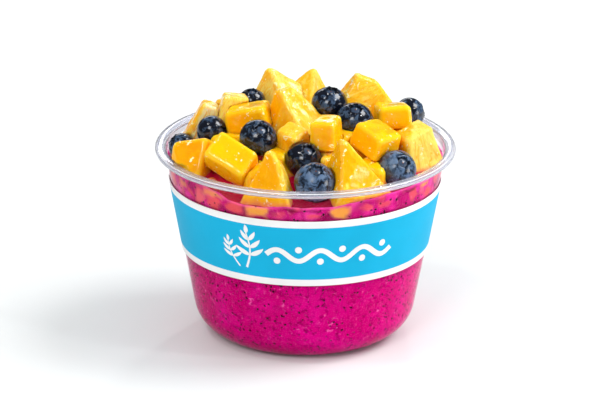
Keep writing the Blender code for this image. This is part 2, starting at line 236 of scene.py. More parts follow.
class BowlSettings(bpy.types.PropertyGroup):
    rim_radius: length_setting("Rim radius", "Outside of the rolled rim", BOWL_BOX[1].x)
    rim_low: length_setting("Rim low", "Height at which the rim starts", 0.0718)
    sheet: length_setting("Sheet", "Thickness of the plastic", 0.00065)
    tint: colour_setting("Tint", "Colour of the clear plastic", (0.935, 0.945, 0.965))
    wall_ior: number_setting("Wall bending", "How far the thin wall bends light", 1.12)
    rim_ior: number_setting("Rim bending", "How far the rolled rim bends light", 1.3)


class SleeveSettings(bpy.types.PropertyGroup):
    low: length_setting("Lower edge", "Height of the lower edge", SLEEVE_BOX[0].z)
    high: length_setting("Upper edge", "Height of the upper edge", SLEEVE_BOX[1].z)
    paper: length_setting("Paper", "Thickness of the paper", 0.0004)
    border: length_setting("Border", "Width of the white borders", 0.0028)
    blue: colour_setting("Blue", "Colour of the field", (0.008, 0.425, 0.70))
    white: colour_setting("White", "Colour of the borders and the print", (0.86, 0.86, 0.86))


class PureeSettings(bpy.types.PropertyGroup):
    magenta: colour_setting("Magenta", "Colour of the smooth puree", (0.60, 0.0002, 0.150))
    pink: colour_setting("Pink", "Colour of the brighter puree", (0.74, 0.0006, 0.240))
    salmon: colour_setting("Salmon", "Colour of the fruit bits in it", (0.84, 0.13, 0.16))
    seed_length: length_setting("Seed length", "Length of a pitaya seed", 0.00115)
    seed_density: number_setting("Seed density", "Most seeds on a square metre", 115000.0)
    seed_start: bpy.props.IntProperty(
        name="Seed start", description="Start of the random places", default=7
    )


class FruitSettings(bpy.types.PropertyGroup):
    mango: colour_setting("Mango", "Colour of ripe mango", (0.95, 0.52, 0.0015))
    mango_deep: colour_setting("Deep mango", "Colour of the riper spots", (0.92, 0.36, 0.0006))
    pineapple: colour_setting("Pineapple", "Colour of pale pineapple", (0.95, 0.56, 0.016))
    # Also the colour of the painted shade where a chunk looks left or down.
    pineapple_deep: colour_setting(
        "Deep pineapple", "Colour between the fibres", (0.93, 0.41, 0.0010)
    )
    berry: colour_setting("Blueberry", "Colour of the bare skin", (0.004, 0.006, 0.014))
    bloom: colour_setting("Bloom", "Colour of the waxy bloom", (0.082, 0.152, 0.275))
    mango_voxel: length_setting("Mango grain", "Mesh size of a mango block", 0.00055)
    chunk_voxel: length_setting("Chunk grain", "Mesh size of a pineapple chunk", 0.00042)


class StageSettings(bpy.types.PropertyGroup):
    floor: colour_setting("Floor", "Colour of the floor", (0.77, 0.79, 0.785))
    key: number_setting("Key light", "Power of the key", 14.2)
    right: number_setting("Right light", "Power of the right fill", 5.2)
    left: number_setting("Left light", "Power of the left fill", 3.6)
    front: number_setting("Front light", "Power of the front fill", 6.8)
    strip: number_setting("Strip light", "Power of the strip", 2.4)
    spark: number_setting("Spark lights", "Power of each small lamp for wet glints", 2.2)
    ambient: number_setting("Ambient", "Strength of the even light", 0.52)
    mirrored: number_setting("Mirrored", "Strength of the even light in reflections", 0.10)


# ---------------------------------------------------------------- the bowl's shape


def held(value, low=0.0, high=1.0):
    """The value, kept between low and high."""
    return max(low, min(high, value))


def polar(radius, around, height):
    return radius * math.cos(around), radius * math.sin(around), height


def wall_radius(height, inward):
    """Radius of a surface set inward from the middle of the wall's sheet, in mm."""
    foot_radius, foot_height = WALL_FOOT
    if height >= foot_height:
        return foot_radius + WALL_SLOPE * (height - foot_height) - inward * SLOPE_STRETCH
    reach = HEEL_RADIUS - inward
    drop = min(reach, HEEL_RADIUS + HALF_SHEET - height)
    return BASE_RADIUS + math.sqrt(max(0.0, reach * reach - drop * drop))


def heel_line(inward, steps):
    """The rounding from wall to base, as (radius, height) in mm."""
    start = -math.atan(WALL_SLOPE)
    reach = HEEL_RADIUS - inward
    line = []
    for step in range(steps + 1):
        angle = start + (-math.pi / 2 - start) * step / steps
        height = HEEL_RADIUS + HALF_SHEET + reach * math.sin(angle)
        line.append((BASE_RADIUS + reach * math.cos(angle), height))
    return line


def rim_line(steps, rim_radius, sheet):
    """The rolled rim from its free edge over the top to the wall, as (radius, height) in mm."""
    line = []
    for step in range(steps + 1):
        angle = math.radians(180 - RIM_CURL * (1 - step / steps))
        across = (RIM_WIDTH - sheet) / 2 * math.cos(angle)
        up = (RIM_DEPTH - sheet) / 2 * math.sin(angle)
        line.append((rim_radius - RIM_WIDTH / 2 + across, RIM_HEIGHT + up))
    return line


def turned_mesh(name, profile, steps, closed=False):
    """A plain mesh turned round the axis from a profile in mm."""
    bm = bmesh.new()
    points = [bm.verts.new((radius * MM, 0.0, height * MM)) for radius, height in profile]
    for one, other in zip(points, points[1:] + points[:1] if closed else points[1:]):
        bm.edges.new((one, other))
    bmesh.ops.spin(
        bm, geom=bm.verts[:] + bm.edges[:], angle=math.tau, steps=steps, axis=(0, 0, 1),
        cent=(0, 0, 0), use_duplicate=False,
    )
    bmesh.ops.remove_doubles(bm, verts=bm.verts, dist=1e-6)
    bmesh.ops.recalc_face_normals(bm, faces=bm.faces)
    return mesh_of(name, bm)


def mesh_of(name, bm):
    mesh = bpy.data.meshes.new(name)
    bm.to_mesh(mesh)
    bm.free()
    return mesh


def in_scene(name, data):
    """A new object at the origin that shows the given mesh, light or camera."""
    obj = bpy.data.objects.new(name, data)
    bpy.context.scene.collection.objects.link(obj)
    return obj


def add_piece(name, mesh, slot, *nodes):
    """Puts a finished mesh in the scene as a piece that rides on the model's one body."""
    piece = in_scene(name, mesh)
    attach(piece, BODY)
    if nodes:
        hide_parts(*nodes)


def add_fruit(name, node, number, mesh, finish):
    """One piece of fruit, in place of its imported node."""
    mesh.update()
    mesh.shade_smooth()
    mesh.materials.clear()
    mesh.materials.append(finish)
    add_piece(f"{name}_{number:02d}", mesh, node, f"{node}_{number:02d}")


def finished(obj, name):
    """A plain mesh of the object with its modifiers applied. The object goes."""
    bpy.context.view_layer.update()
    graph = bpy.context.evaluated_depsgraph_get()
    mesh = bpy.data.meshes.new_from_object(obj.evaluated_get(graph))
    mesh.name = name
    bpy.data.objects.remove(obj)
    return mesh


def smooth_but_for_edges(mesh):
    mesh.shade_smooth()
    mesh.set_sharp_from_angle(angle=SHARP_FROM)


# ---------------------------------------------------------------- materials


class Nodes:
    """A node tree, built a node at a time."""

    prefix = ""

    def __init__(self, tree):
        self.tree = tree

    def node(self, kind, inputs=None, **settings):
        node = self.tree.nodes.new(self.prefix + kind)
        for key, value in settings.items():
            setattr(node, key, value)
        for key, value in (inputs or {}).items():
            self.feed(node.inputs[key], value)
        return node

    def add(self, kind, inputs=None, **settings):
        """Adds a node, and gives what comes out of it."""
        return self.node(kind, inputs, **settings).outputs

    def feed(self, socket, value):
        if isinstance(value, bpy.types.NodeSocket):
            self.tree.links.new(value, socket)
        elif socket.type == "RGBA":
            socket.default_value = (*value, 1.0)
        else:
            socket.default_value = value


class Finish(Nodes):
    """A material, built a shader node at a time."""

    prefix = "ShaderNode"

    def __init__(self, name):
        self.material = bpy.data.materials.new(name)
        self.material.use_nodes = True
        super().__init__(self.material.node_tree)
        self.shader = self.tree.nodes["Principled BSDF"]

    def surface(self, **values):
        """Sets the shader's sockets, and gives the material."""
        for key, value in values.items():
            self.feed(self.shader.inputs[key.replace("_", " ")], value)
        return self.material

    def place(self):
        return self.add("TexCoord")["Object"]

    def scaled(self, vector, scale, turn=(0, 0, 0)):
        inputs = {"Vector": vector, "Scale": scale, "Rotation": turn}
        return self.add("Mapping", inputs)["Vector"]

    def noise(self, vector, scale, detail=2.0, rough=0.5, distortion=0.0, give="Fac"):
        inputs = {
            "Vector": vector, "Scale": scale, "Detail": detail, "Roughness": rough,
            "Distortion": distortion,
        }
        return self.add("TexNoise", inputs)[give]

    def ramp(self, value, *stops):
        node = self.node("ValToRGB", {"Fac": value})
        elements = node.color_ramp.elements
        while len(elements) < len(stops):
            elements.new(0.5)
        for element, (place, colour) in zip(elements, stops):
            element.position = place
            element.color = (*colour, 1.0)
        return node.outputs["Color"]

    def mix(self, factor, one, other):
        inputs = {0: factor, 6: one, 7: other}
        return self.add("Mix", inputs, data_type="RGBA", clamp_factor=True)[2]

    def layered(self, colour, *layers):
        """A colour with others laid over it, each as far as its mask says."""
        for mask, other in layers:
            colour = self.mix(mask, colour, other)
        return colour

    def math(self, operation, one, other=0.0, clamp=False):
        return self.add("Math", {0: one, 1: other}, operation=operation, use_clamp=clamp)[0]

    def centred(self, value):
        """A value from 0 to 1 as one from -0.5 to 0.5."""
        return self.math("SUBTRACT", value, 0.5)

    def vector(self, operation, one, other):
        return self.add("VectorMath", {0: one, 1: other}, operation=operation)[0]

    def between(self, value, low, high, out_low=0.0, out_high=1.0):
        inputs = {
            "Value": value, "From Min": low, "From Max": high, "To Min": out_low,
            "To Max": out_high,
        }
        return self.add("MapRange", inputs, interpolation_type="SMOOTHSTEP")["Result"]

    def bump(self, height, strength, distance, normal=None):
        inputs = {"Height": height, "Strength": strength, "Distance": distance}
        if normal is not None:
            inputs["Normal"] = normal
        return self.add("Bump", inputs)["Normal"]

    def normal(self):
        """The surface's normal, apart, as X, Y and Z."""
        return self.add("SeparateXYZ", {0: self.add("NewGeometry")["Normal"]})

    def upward(self):
        """Where the surface looks up, from a little on faces that look down to 1."""
        return self.between(self.normal()["Z"], -0.25, 0.4, 0.1, 1.0)

    def attribute(self, name, give="Fac"):
        return self.add("Attribute", attribute_name=name)[give]


def clear_plastic(name, tint, edge, ior, through):
    """Clear sheet that lets lamps through and deepens where it is seen edge on."""
    made = Finish(name)
    facing = made.add("LayerWeight", {"Blend": 0.45})["Facing"]
    streaks = made.noise(made.scaled(made.place(), (1, 1, 9)), 30.0)
    shade = made.math("ADD", facing, made.between(streaks, 0.3, 0.7, -0.08, 0.08))
    made.surface(
        Base_Color=made.mix(made.between(shade, 0.25, 1.0), tint, edge),
        Roughness=0.0, IOR=ior, Transmission_Weight=through,
    )
    lets = made.add("BsdfTransparent", {"Color": (0.93, 0.94, 0.95)})[0]
    rays = made.add("LightPath")["Is Shadow Ray"]
    mixed = made.add("MixShader", {0: rays, 1: made.shader.outputs[0], 2: lets})[0]
    made.feed(made.tree.nodes["Material Output"].inputs["Surface"], mixed)
    return made.material


def coated_paper(name, colour):
    """Printed paper, a little cloudy, with fine fibres."""
    made = Finish(name)
    place = made.place()
    fibres = made.noise(made.scaled(place, (1, 1, 2.2)), 900.0, 4.0, 0.6)
    cloudy = made.between(made.noise(place, 60.0, 3.0), 0.3, 0.7)
    return made.surface(
        Base_Color=made.mix(cloudy, [channel * 0.93 for channel in colour], colour),
        Roughness=made.between(fibres, 0.2, 0.8, 0.5, 0.62),
        Normal=made.bump(fibres, 0.12, 0.00004),
        Specular_IOR_Level=0.08,
    )


def puree_finish(settings):
    """Smooth magenta puree low down, and bits of fruit near the top, as the wall shows them, with
    painted shade in places and a painted highlight along its edge at the wall.
    """
    made = Finish("pitaya_puree")
    place = made.place()
    large = made.noise(place, 70.0, 4.0, 0.6, 0.4)
    fine = made.noise(place, 520.0, 4.0, 0.75)
    pale = made.noise(place, 430.0, 3.0, 0.6, 1.6)
    # Smooth puree with darker grains and pale threads.
    smooth = made.layered(
        settings.magenta,
        (made.between(large, 0.35, 0.7), settings.pink),
        (made.between(fine, 0.52, 0.30), [channel * 0.45 for channel in settings.magenta]),
        (made.between(pale, 0.62, 0.70, 0.0, 0.7), (0.92, 0.13, 0.46)),
    )
    # Bits of fruit, in slanting cells with wavy edges.
    waves = made.vector("SUBTRACT", made.noise(place, 190.0, give="Color"), (0.5, 0.5, 0.5))
    waves = made.vector("MULTIPLY", waves, (0.0045, 0.0045, 0.0045))
    slanted = made.scaled(place, (1.0, 1.0, 0.75), (0.35, 0.45, 0.0))
    cells = made.add("TexVoronoi", {"Vector": made.vector("ADD", slanted, waves), "Scale": 190.0})
    bits = made.ramp(
        made.add("SeparateColor", {0: cells["Color"]})[0],
        (0.0, (0.26, 0.003, 0.08)), (0.18, (0.60, 0.006, 0.16)), (0.42, (0.80, 0.012, 0.29)),
        (0.68, (0.85, 0.05, 0.34)), (0.86, settings.salmon), (1.0, (0.74, 0.05, 0.10)),
    )
    warp = made.noise(place, 160.0, 3.0, 0.6)
    streaks = made.noise(made.scaled(place, (1, 1, 0.5)), 420.0, 3.0, 0.6, 0.8)
    gap_shade = made.between(cells["Distance"], 0.30, 0.72, 0.0, 0.75)
    # The darker gaps between the bits are painted shade. The last three are fruit that lies
    # against the wall, and painted shade: dark places and the shaded edge above the sleeve.
    bits = made.layered(
        bits,
        (gap_shade, made.mix(warp, (0.28, 0.003, 0.07), (0.70, 0.008, 0.20))),
        (made.between(streaks, 0.58, 0.75, 0.0, 0.5), (0.95, 0.16, 0.36)),
        (made.attribute("salmon"), made.mix(streaks, (0.80, 0.06, 0.10), (0.86, 0.12, 0.10))),
        (made.attribute("fruit"), made.mix(streaks, (0.88, 0.42, 0.07), (0.90, 0.28, 0.05))),
        (made.attribute("shade"), (0.16, 0.004, 0.03)),
    )
    height = made.add("SeparateXYZ", {0: place})["Z"]
    zone = made.math("ADD", height, made.math("MULTIPLY", made.centred(warp), 0.006))
    return made.surface(
        Base_Color=made.layered(
            smooth,
            (made.between(zone, 0.050, 0.058), bits),
            # A brighter pink line where the puree meets the wall: painted highlight.
            (made.attribute("edge"), (0.90, 0.10, 0.36)),
        ),
        Roughness=made.between(fine, 0.3, 0.7, 0.45, 0.6),
        Normal=made.bump(fine, 0.25, 0.00015),
        Specular_IOR_Level=0.0,
    )


def juice_finish():
    """The crimson juice that lies on the puree between the fruit."""
    made = Finish("crimson_juice")
    place = made.place()
    warp = made.noise(place, 160.0, 3.0, 0.6)
    thin = made.noise(place, 420.0, 3.0, 0.6, 0.6)
    return made.surface(
        Base_Color=made.layered(
            made.mix(warp, (0.34, 0.001, 0.016), (0.54, 0.004, 0.05)),
            (made.between(thin, 0.56, 0.72, 0.0, 0.6), (0.66, 0.02, 0.13)),
            (made.attribute("nearby"), (0.32, 0.008, 0.040)),
        ),
        Roughness=made.between(thin, 0.3, 0.7, 0.08, 0.22),
        Normal=made.bump(thin, 0.3, 0.0003),
        Specular_IOR_Level=0.3,
    )


def seed_finish():
    made = Finish("pitaya_seed")
    grain = made.noise(made.place(), 1800.0)
    return made.surface(
        Base_Color=made.mix(grain, (0.004, 0.001, 0.002), (0.022, 0.003, 0.008)),
        Roughness=0.4, Specular_IOR_Level=0.1,
    )


def painted_glints(made, place, share):
    """Painted glints: small pale dots and short bent lines that stand in for highlights on the wet
    flesh.
    """
    glint_dots = made.between(made.noise(place, 560.0, 1.0, 0.4), 0.74 - share, 0.77 - share)
    bent = made.math("ABSOLUTE", made.centred(made.noise(place, 250.0, 2.0, 0.5, 1.0)))
    where = made.between(made.noise(place, 260.0, 2.0, 0.6), 0.63 - share, 0.66 - share)
    glint_lines = made.math("MULTIPLY", made.between(bent, 0.036, 0.014), where)
    return made.math("MAXIMUM", glint_dots, glint_lines)


def mango_finish(settings):
    """Ripe mango flesh: smooth and wet, deeper in colour in patches, with painted shade where it
    looks down, a painted highlight along its edges and painted glints.
    """
    made = Finish("mango_flesh")
    place, crest, upward = made.place(), made.attribute("crest"), made.upward()
    patches = made.between(made.noise(place, 120.0, 3.0, 0.55, 0.6), 0.36, 0.70, 0.0, 0.75)
    deep_share = made.math("ADD", patches, made.centred(made.attribute("tone")), clamp=True)
    threads = made.noise(made.scaled(place, (1, 1, 4), (0.5, 0.3, 0.2)), 380.0, 3.0, 0.6, 0.5)
    glint_marks = painted_glints(made, place, 0.02)
    wet = made.noise(place, 300.0, 3.0, 0.55, 0.4)
    film = made.between(made.noise(place, 190.0, 3.0, 0.6, 0.3), 0.42, 0.56, 0.25, 1.0)
    flesh = made.mix(deep_share, settings.mango, settings.mango_deep)
    return made.surface(
        Base_Color=made.layered(
            # Painted shade: a deeper orange where the surface looks down.
            made.mix(upward, (1.0, 0.43, 0.003), flesh),
            (made.between(threads, 0.56, 0.72, 0.0, 0.3), (0.98, 0.60, 0.012)),
            # Painted highlight: paler along the edges.
            (made.between(crest, 0.25, 0.9, 0.0, 0.55), (0.99, 0.62, 0.02)),
            # Painted glints on the wet flesh.
            (made.math("MULTIPLY", glint_marks, 0.9), (1.0, 0.92, 0.52)),
            (made.attribute("stain"), STAIN_COLOUR),
        ),
        Roughness=made.between(wet, 0.35, 0.7, 0.22, 0.36),
        Normal=made.bump(glint_marks, 0.4, 0.0002, made.bump(wet, 0.25, 0.0004)),
        Coat_Weight=made.math("MULTIPLY", made.math("MAXIMUM", film, crest), upward),
        Coat_Normal=made.bump(wet, 0.2, 0.0004),
        Coat_Roughness=0.03, Coat_IOR=1.5, Specular_IOR_Level=0.04,
        Subsurface_Weight=0.6, Subsurface_Radius=(1.0, 0.55, 0.04), Subsurface_Scale=0.003,
    )


def pineapple_finish(settings):
    """Pineapple flesh: pale, with thin lines of fibre that fan out from the narrow end, painted
    shade where it looks left or down, a painted highlight along its edges and painted glints.
    """
    made = Finish("pineapple_flesh")
    place, crest = made.place(), made.attribute("crest")
    fan = made.attribute("fibre", "Vector")
    fibres = made.noise(made.scaled(fan, (0.55, 0.55, 0.05)), 1.0, 2.0, 0.5, 0.4)
    fine = made.noise(made.scaled(fan, (2.4, 2.0, 0.22)), 1.0, 3.0, 0.6, 0.3)
    broad = made.noise(made.scaled(fan, (0.22, 0.22, 0.09)), 1.0, 3.0, 0.55, 0.8)
    # Deeper where it looks left or down, which is painted shade, by the chunk's own tone and in
    # broad streaks.
    tone = made.math("MULTIPLY", made.centred(made.attribute("tone")), 1.7)
    normal = made.normal()
    shade_leftward = made.between(normal["X"], -0.05, -0.55, 0.0, 0.45)
    shade_downward = made.between(normal["Z"], 0.25, -0.25, 0.0, 0.30)
    turned = made.math("ADD", made.math("ADD", shade_leftward, shade_downward), tone)
    deep_share = made.math("ADD", made.between(broad, 0.44, 0.60, 0.0, 0.60), turned, clamp=True)
    patchy = made.math("MAXIMUM", made.between(broad, 0.50, 0.36), made.between(tone, 0.0, -0.5))
    cream = made.math("MULTIPLY", patchy, made.between(deep_share, 0.7, 0.2))
    # Paler along the edges: painted highlight.
    cream = made.math("MAXIMUM", cream, made.between(crest, 0.2, 0.9, 0.0, 0.7))
    lines = made.math("ABSOLUTE", made.centred(fibres))
    threads = made.between(fine, 0.46, 0.30, 0.0, 0.5)
    threads = made.math("MULTIPLY", threads, made.between(deep_share, 1.0, 0.2, 0.08, 0.8))
    glint_marks = painted_glints(made, place, 0.03)
    wet = made.noise(place, 340.0, 3.0, 0.6, 0.5)
    film = made.between(made.noise(place, 200.0, 3.0, 0.6, 0.4), 0.44, 0.58, 0.20, 1.0)
    deep = settings.pineapple_deep
    return made.surface(
        Base_Color=made.layered(
            made.mix(deep_share, settings.pineapple, deep),
            (made.math("MULTIPLY", cream, 0.8), (0.97, 0.70, 0.15)),
            # Creamier where the tone is lowest, on the lit side of a ridge: painted light.
            (made.between(tone, -0.9, -1.8, 0.0, 0.85), (1.0, 0.84, 0.45)),
            (made.between(lines, 0.036, 0.008, 0.0, 0.75), deep),
            (made.between(fine, 0.52, 0.70, 0.0, 0.40), deep),
            (threads, (0.98, 0.70, 0.13)),
            # Painted glints on the wet flesh.
            (made.math("MULTIPLY", glint_marks, 0.9), (1.0, 0.90, 0.50)),
            (made.attribute("stain"), STAIN_COLOUR),
        ),
        Roughness=made.between(wet, 0.35, 0.7, 0.22, 0.40),
        Normal=made.bump(
            made.math("ADD", wet, glint_marks), 0.4, 0.0004, made.bump(fine, 0.35, 0.0004)
        ),
        Coat_Weight=made.math("MULTIPLY", film, made.upward()),
        Coat_Normal=made.bump(wet, 0.3, 0.0005),
        Coat_Roughness=0.04, Coat_IOR=1.5, Specular_IOR_Level=0.04,
        Subsurface_Weight=0.6, Subsurface_Radius=(1.0, 0.65, 0.10), Subsurface_Scale=0.003,
    )


def berry_finish(settings):
    """Dark skin with patches of waxy bloom, and a paler crown with a brown scar inside a dark
    ring, which is partly the sepals' own colour and partly painted shade.
    """
    made = Finish("blueberry_skin")
    place, crown, lip = made.place(), made.attribute("crown"), made.attribute("lip")
    patches = made.noise(place, 330.0, 4.0, 0.62, 0.8)
    fine = made.noise(place, 1100.0, 3.0, 0.7)
    speckle = made.math("MULTIPLY", made.centred(fine), 0.9)
    cover = made.math("ADD", made.between(patches, 0.36, 0.64), speckle)
    cover = made.math("ADD", cover, made.centred(made.attribute("waxy")), clamp=True)
    hollow = made.mix(patches, (0.020, 0.030, 0.055), (0.075, 0.115, 0.190))
    return made.surface(
        Base_Color=made.layered(
            made.mix(cover, settings.berry, settings.bloom),
            (made.between(crown, 0.19, 0.11), hollow),
            (made.between(crown, 0.036, 0.018), (0.12, 0.035, 0.012)),
            # Dark ring round the crown: the sepals' colour and painted shade.
            (lip, (0.001, 0.001, 0.002)),
        ),
        Roughness=made.between(cover, 0.0, 1.0, 0.13, 0.36),
        Normal=made.bump(fine, 0.10, 0.0002),
        Specular_IOR_Level=made.between(lip, 0.0, 0.7, 0.5, 0.03),
        Coat_Weight=made.between(lip, 0.0, 0.5, 0.1, 0.0), Coat_Roughness=0.05,
    )


# ---------------------------------------------------------------- the pieces' meshes


def level_at(around):
    """The puree's height at the wall in a compass direction, in mm."""
    degrees = math.degrees(around)
    level = LEVELS[-1][1]
    for (start, low), (end, high) in zip(LEVELS, LEVELS[1:]):
        if start <= degrees <= end:
            share = (degrees - start) / (end - start)
            level = low + (high - low) * share * share * (3 - 2 * share)
            break
    wave = 0.45 * math.sin(9 * around + 1.0) + 0.3 * math.sin(17 * around + 2.5)
    return level + wave * 0.25


def puree_mesh(sheet):
    """The puree: it reaches just into the wall, and its top is a lumpy dome."""
    inward = sheet / MM / 2 - PUREE_BITE
    arounds = [math.tau * step / PUREE_STEPS - math.pi for step in range(PUREE_STEPS)]
    levels = [level_at(around) for around in arounds]
    points = [(0.0, 0.0, PUREE_MIDDLE)]
    for ring in range(1, TOP_RINGS + 1):
        out = ring / TOP_RINGS
        for around, level in zip(arounds, levels):
            x, y, _ = polar(wall_radius(level, inward) * out, around, level)
            height = level + (PUREE_MIDDLE - level) * (1 - out * out)
            lump = noise.fractal(Vector((x, y, 3.0)) / 5.0, 1.0, 2.0, 3)
            height += (0.9 * lump) * min(1.0, (1 - out) * 12)  # fading out near the wall
            height += PUREE_CLIMB * max(0.0, (out - 0.965) / 0.035) ** 2
            points.append((x, y, height))
    for side in range(1, SIDE_RINGS + 1):
        for around, level in zip(arounds, levels):
            high = level + PUREE_CLIMB
            height = high + (WALL_FOOT[1] - high) * side / SIDE_RINGS
            points.append(polar(wall_radius(height, inward), around, height))
    for radius, height in heel_line(inward, HEEL_STEPS)[1:]:
        points += [polar(radius, around, height) for around in arounds]
    rings = (len(points) - 1) // PUREE_STEPS
    points.append((0.0, 0.0, points[-1][2]))
    faces = []
    for step in range(PUREE_STEPS):
        after = (step + 1) % PUREE_STEPS
        faces.append((0, 1 + step, 1 + after))
        for ring in range(rings - 1):
            here = 1 + ring * PUREE_STEPS
            below = here + PUREE_STEPS
            faces.append((here + step, below + step, below + after, here + after))
        last = 1 + (rings - 1) * PUREE_STEPS
        faces.append((last + step, len(points) - 1, last + after))
    mesh = bpy.data.meshes.new("puree")
    mesh.from_pydata([(x * MM, y * MM, z * MM) for x, y, z in points], [], faces)
    mesh.update()
    mesh.shade_smooth()
    return mesh


def shown(spots, degrees, height, radius):
    """How much of the spots shows at a place on the side, from 0 to 1."""
    most = 0.0
    for spot_degrees, spot_height, half_width, half_height, strength in spots:
        across = math.radians(degrees - spot_degrees) * radius / half_width
        reach = math.hypot(across, (height - spot_height) / half_height)
        most = max(most, strength * held((1.25 - reach) / 0.5))
    return most


# Of these, shade is painted shade, and edge is a painted highlight along the puree's edge at the
# wall.
PUREE_LOOKS = ("seedy", "fruit", "salmon", "shade", "edge", "nearby")


def puree_look(place):
    """The puree's looks at a place, each from 0 to 1, in the order of their names above."""
    degrees = math.degrees(math.atan2(place.y, place.x))
    radius = math.hypot(place.x, place.y)
    sideways, up = noise.noise(place / 3.0), noise.noise(place / 3.0 + Vector((50, 0, 0)))
    edge = wall_radius(place.z, 0.3)
    seedy = 0.72 + 0.5 * noise.noise(place / 9.0)
    if place.z > TOP_FROM:
        seedy = 0.42 + 0.9 * noise.noise(place / 4.0)
    fruit = salmon = shade = rim = 0.0
    if radius > edge - 0.5 and place.z > BITS_FROM:
        moved = (degrees + sideways * 2.6, place.z + up * 1.5, radius)
        fruit = shown(SHOWN_FRUIT, *moved)
        salmon = shown(SHOWN_SALMON, *moved)
        # Painted shade: dark places seen through the wall, and a darker edge just above the
        # sleeve.
        over_sleeve = place.z - SLEEVE_BOX[1].z / MM
        shade = max(shown(SHOWN_SHADE, *moved), 0.45 * held((0.9 - over_sleeve) / 0.6))
        # A band just under the puree's edge at the wall, for a painted highlight.
        below_edge = level_at(math.radians(degrees)) + PUREE_CLIMB - place.z
        rim = 0.75 * max(0.0, 1.0 - abs(below_edge - 0.25) / 0.55)
    nearby = held(1.0 - (edge - radius - 1.0) / 5.0) * (0.7 + 0.6 * sideways)
    return held(seedy), fruit, salmon, shade, rim, held(nearby)


def placed(at, heading, lean, towards):
    """Where a fruit stands: turned by its heading, then leant over in a compass direction."""
    way = math.radians(towards)
    side = Vector((-math.sin(way), math.cos(way), 0.0))
    turned = Matrix.Rotation(math.radians(heading), 4, "Z")
    leant = Matrix.Rotation(math.radians(lean), 4, side) @ turned
    return Matrix.Translation(Vector(at)) @ leant


def blueberry_mesh(number, at, radius, half, lean, towards):
    """A berry in the frame: a slightly flattened ball with a five-pointed crown round a hollow."""
    around_steps, polar_steps = 80, 64
    hollow = 13.5  # degrees from the crown's middle to where its lobes begin to rise
    matrix = placed(at, 37 * number, lean, towards)
    points, crowns, lips = [], [], []
    start = Vector((number * 3.7, 0, 0))
    for step in range(polar_steps + 1):
        down = math.pi * (step / polar_steps) ** 1.35
        degrees = math.degrees(down)
        for turn in range(around_steps):
            around = math.tau * turn / around_steps
            lobe = 0.5 + 0.5 * math.cos(5 * around + 0.5 * math.sin(3 * around + number))
            lip = 19.0 + 6.0 * lobe
            ragged = 0.75 + 0.25 * math.sin(11 * around + number)
            lift = 0.0
            if degrees < lip:
                rise = max(0.0, (degrees - hollow) / (lip - hollow))
                rise = rise * rise * (3 - 2 * rise)
                depth = 0.13 + 0.03 * min(1.0, degrees / hollow)
                lift = rise * (0.16 + 0.075 * lobe * ragged) - depth
            elif degrees < lip + 5:
                fall = 1 - (degrees - lip) / 5.0
                lift = 0.075 * lobe * ragged * fall * fall
            point = Vector(polar(radius * math.sin(down), around, half * math.cos(down)))
            point.z += lift * radius
            point *= 1 + 0.012 * noise.noise(point / radius * 1.3 + Vector((number * 7.0, 0, 0)))
            points.append(matrix @ point * MM)
            crowns.append(degrees / 90.0)
            torn = noise.noise(Vector(polar(2.2, around, 0)) + start)
            tiny = noise.noise(Vector(polar(6, around, 5)) + start)
            inner = 12.5 + 4.0 * torn + 2.5 * tiny
            outer = 18.5 + 9.0 * lobe * lobe * ragged + 5.0 * tiny
            # The dark ring over the crown's lobes and down into its hollow: the sepals' own dark
            # colour, and painted shade in the hollow.
            dark = min(held((degrees - inner) / 2.5), held((outer - degrees) / 2.5))
            lips.append(dark * (0.85 + 0.3 * torn))
    faces = []
    for here in range(0, polar_steps * around_steps, around_steps):
        for turn in range(around_steps):
            after = here + (turn + 1) % around_steps
            faces.append((here + turn, here + around_steps + turn, after + around_steps, after))
    mesh = bpy.data.meshes.new("berry")
    mesh.from_pydata(points, [], faces)
    set_attribute(mesh, "crown", crowns)
    set_attribute(mesh, "lip", lips)
    bm = bmesh.new()
    bm.from_mesh(mesh)
    bmesh.ops.remove_doubles(bm, verts=bm.verts, dist=1e-7)
    bmesh.ops.recalc_face_normals(bm, faces=bm.faces)
    bm.to_mesh(mesh)
    bm.free()
    set_attribute(mesh, "waxy", [WAXY.get(number, 0.0)] * len(mesh.vertices))
    return mesh


def fruit_mesh(node, voxel):
    """A fine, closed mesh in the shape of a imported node, its edges softened."""
    bm = bmesh.new()
    bm.from_mesh(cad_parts[node].data)
    bmesh.ops.remove_doubles(bm, verts=bm.verts, dist=1e-6)
    helper = in_scene("fruit_helper", mesh_of("fruit_helper", bm))
    remesh = helper.modifiers.new("even", "REMESH")
    remesh.mode = "VOXEL"
    remesh.voxel_size = voxel
    helper.modifiers.new("soft", "SMOOTH").factor = 0.5
    return finished(helper, node)


def points_of(mesh):
    """The places and normals of a mesh's points."""
    places, normals = np.empty((2, len(mesh.vertices) * 3), np.float32)
    mesh.vertices.foreach_get("co", places)
    mesh.vertex_normals.foreach_get("vector", normals)
    return places.reshape(-1, 3), normals.reshape(-1, 3)


def kept_inside(places, sheet):
    """Points kept clear of the wall and the rim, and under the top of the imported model."""
    out = np.hypot(places[:, 0], places[:, 1]) / MM
    heights = places[:, 2] / MM
    middle, half = RIM_ROOM
    wall = WALL_FOOT[0] + WALL_SLOPE * (heights - WALL_FOOT[1])
    wall = wall - sheet / MM / 2 * SLOPE_STRETCH - WALL_GAP
    rim = middle - np.sqrt(np.maximum(0.0, half ** 2 - (heights - RIM_HEIGHT) ** 2))
    limit = np.where(heights < RIM_HEIGHT + half, np.minimum(wall, rim), np.inf)
    limit = np.where(heights < RIM_HEIGHT - half, wall, limit)
    places[:, :2] *= np.minimum(1.0, limit / np.maximum(out, 1e-6)).reshape(-1, 1)
    places[:, 2] = np.minimum(places[:, 2], CAD_BOX[1].z - BOX_GAP * MM)
    return places


